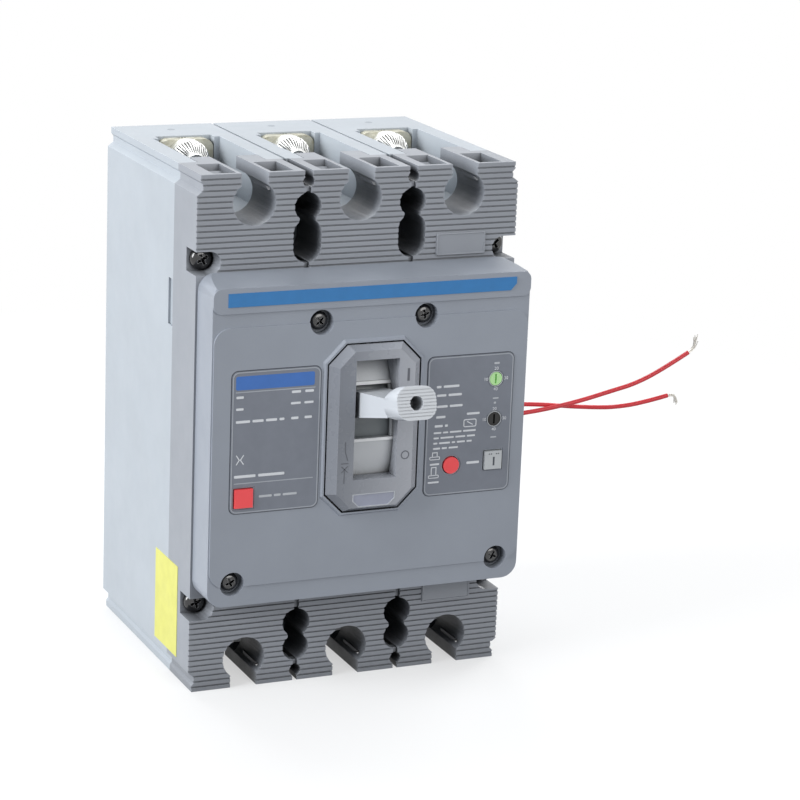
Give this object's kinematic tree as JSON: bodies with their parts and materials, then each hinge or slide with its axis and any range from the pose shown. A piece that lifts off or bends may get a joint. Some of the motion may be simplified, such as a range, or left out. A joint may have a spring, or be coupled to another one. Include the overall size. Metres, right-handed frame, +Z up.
{
  "type": "moulded case circuit breaker",
  "caption": "Moulded case circuit breaker with an earth-leakage unit: boxy case, toggle handle, push buttons, bolted terminals at both ends and flying leads.",
  "frame": {"origin": "centre of the flat back of the base, on the mounting panel", "axes": "+X to the right, +Y back into the panel, +Z up to the line end; the front looks along -Y"},
  "size_m": [0.1912, 0.1342, 0.165],
  "materials": {
    "base_plastic": "fine-grained pale grey moulding",
    "cover_plastic": "fine-grained mid grey moulding",
    "front_plastic": "satin mid grey moulding",
    "handle_plastic": "smooth pale grey",
    "shutter_plastic": "smooth light grey",
    "label_sheet": "printed sheet, darker grey",
    "stripe_blue": "plain blue film",
    "sticker_yellow": "plain yellow paper",
    "button_red": "smooth red",
    "button_grey": "smooth light grey",
    "dial_green": "bright green",
    "dial_black": "black",
    "black_steel": "black oxide, oiled",
    "tinned_copper": "tin plated",
    "zinc_steel": "zinc plated",
    "steel": "pressed steel",
    "copper": "bare copper",
    "contact_silver": "silver alloy",
    "inner_plastic": "black moulding",
    "core_steel": "ribbon core",
    "board_green": "circuit board",
    "grommet_rubber": "soft black",
    "wire_red": "soft red insulation",
    "spring_steel": "drawn wire"
  },
  "bodies": {
    "case": {"accent_stripe": "stripe_blue", "arc_chute_centre": "steel", "arc_chute_left": "steel", "arc_chute_right": "steel", "bare_conductors": "copper", "base_housing": "base_plastic", "bimetals": "zinc_steel", "escutcheon": "front_plastic", "fixed_contact_tips": "contact_silver", "front_cover": "front_plastic", "front_cover_screws": "black_steel", "lead_wire_lower": "wire_red", "lead_wire_upper": "wire_red", "leakage_board": "board_green", "line_terminal_centre": "tinned_copper", "line_terminal_left": "tinned_copper", "line_terminal_right": "tinned_copper", "load_terminal_centre": "tinned_copper", "load_terminal_left": "tinned_copper", "load_terminal_right": "tinned_copper", "magnet_yokes": "steel", "main_cover": "cover_plastic", "main_cover_screws": "black_steel", "mechanism_frame": "steel", "rating_label": "label_sheet", "release_coil": "copper", "sensor_core": "core_steel", "sensor_winding": "copper", "setting_label": "label_sheet", "side_sticker": "sticker_yellow", "terminal_nuts": "zinc_steel", "terminal_screws": "zinc_steel", "terminal_washers": "zinc_steel", "test_button_spring": "spring_steel", "trip_button_spring": "spring_steel", "wire_grommet": "grommet_rubber"},
    "handle": {"toggle_handle": "handle_plastic", "handle_yoke": "steel", "main_springs": "spring_steel"},
    "shutter": {"handle_shutter": "shutter_plastic"},
    "contacts": {"crossbar": "inner_plastic", "contact_arm_left": "copper", "contact_arm_centre": "copper", "contact_arm_right": "copper", "moving_contact_tips": "contact_silver"},
    "cradle": {"cradle": "steel"},
    "upper_links": {"upper_links": "steel"},
    "lower_links": {"lower_links": "steel"},
    "trip_bar": {"trip_bar": "inner_plastic"},
    "trip_button": {"trip_button": "button_red"},
    "indicator_button": {"indicator_button": "button_red"},
    "release_plunger": {"release_plunger": "steel"},
    "test_button": {"test_button": "button_grey"},
    "sensitivity_dial": {"sensitivity_dial": "dial_green"},
    "delay_dial": {"delay_dial": "dial_black"},
    "armature_left": {"armature_left": "steel"},
    "armature_centre": {"armature_centre": "steel"},
    "armature_right": {"armature_right": "steel"}
  },
  "joints": [
    {"name": "handle_toggle", "type": "hinge", "parent": "case", "child": "handle", "pos_m": [0, -0.06, 0.0015], "axis": [-1, 0, 0], "range_deg": [-25.5, 9.5]},
    {"name": "shutter_slide", "type": "hinge", "parent": "case", "child": "shutter", "pos_m": [0, -0.06, 0.0015], "axis": [-1, 0, 0], "range_deg": [-23.2, 8.8]},
    {"name": "contact_swing", "type": "hinge", "parent": "case", "child": "contacts", "pos_m": [0, -0.022, -0.004], "axis": [-1, 0, 0], "range_deg": [-18, 6.65]},
    {"name": "cradle_latch", "type": "hinge", "parent": "case", "child": "cradle", "pos_m": [0, -0.066, 0.02], "axis": [-1, 0, 0], "range_deg": [0, 5]},
    {"name": "upper_link_pivot", "type": "hinge", "parent": "cradle", "child": "upper_links", "pos_m": [0, -0.062, 0.009], "axis": [-1, 0, 0], "range_deg": [-10.4, 4]},
    {"name": "lower_link_pivot", "type": "hinge", "parent": "contacts", "child": "lower_links", "pos_m": [0, -0.02786, 0.0074], "axis": [-1, 0, 0], "range_deg": [-14, 37.2]},
    {"name": "trip_press", "type": "slide", "parent": "case", "child": "trip_button", "axis": [0, 1, 0], "range_m": [0, 0.0025], "stiffness_N_per_m": 400, "springref_m": -0.002, "deforming": ["trip_button_spring"]},
    {"name": "trip_bar_turn", "type": "hinge", "parent": "case", "child": "trip_bar", "pos_m": [0, -0.058, -0.027], "axis": [-1, 0, 0], "range_deg": [0, 16]},
    {"name": "indicator_pop", "type": "slide", "parent": "case", "child": "indicator_button", "axis": [0, -1, 0], "range_m": [0, 0.0035]},
    {"name": "release_stroke", "type": "slide", "parent": "case", "child": "release_plunger", "axis": [0, 1, 0], "range_m": [0, 0.002], "stiffness_N_per_m": 200, "springref_m": -0.001},
    {"name": "test_press", "type": "slide", "parent": "case", "child": "test_button", "axis": [0, 1, 0], "range_m": [0, 0.002], "stiffness_N_per_m": 400, "springref_m": -0.002, "deforming": ["test_button_spring"]},
    {"name": "sensitivity_turn", "type": "hinge", "parent": "case", "child": "sensitivity_dial", "pos_m": [0.042, -0.1, 0.0164], "axis": [0, 1, 0], "range_deg": [-45, 225]},
    {"name": "delay_turn", "type": "hinge", "parent": "case", "child": "delay_dial", "pos_m": [0.042, -0.1, 0.0033], "axis": [0, 1, 0], "range_deg": [-45, 225]},
    {"name": "armature_pull_left", "type": "hinge", "parent": "case", "child": "armature_left", "pos_m": [-0.035, -0.033, -0.02375], "axis": [1, 0, 0], "range_deg": [0, 8], "stiffness_Nm_per_rad": 0.02, "springref_deg": -8.59},
    {"name": "armature_pull_centre", "type": "hinge", "parent": "case", "child": "armature_centre", "pos_m": [0, -0.033, -0.02375], "axis": [1, 0, 0], "range_deg": [0, 8], "stiffness_Nm_per_rad": 0.02, "springref_deg": -8.59},
    {"name": "armature_pull_right", "type": "hinge", "parent": "case", "child": "armature_right", "pos_m": [0.035, -0.033, -0.02375], "axis": [1, 0, 0], "range_deg": [0, 8], "stiffness_Nm_per_rad": 0.02, "springref_deg": -8.59}
  ],
  "couplings": [
    {"joint": "shutter_slide", "follows": "handle_toggle", "ratio": 0.9},
    {"joint": "contact_swing", "follows": "handle_toggle", "ratio": 0.7},
    {"joint": "upper_link_pivot", "follows": "handle_toggle", "ratio": 0.4},
    {"joint": "lower_link_pivot", "follows": "handle_toggle", "ratio": -1.45},
    {"joint": "trip_bar_turn", "follows": "trip_press", "rad_per_m": 86}
  ]
}
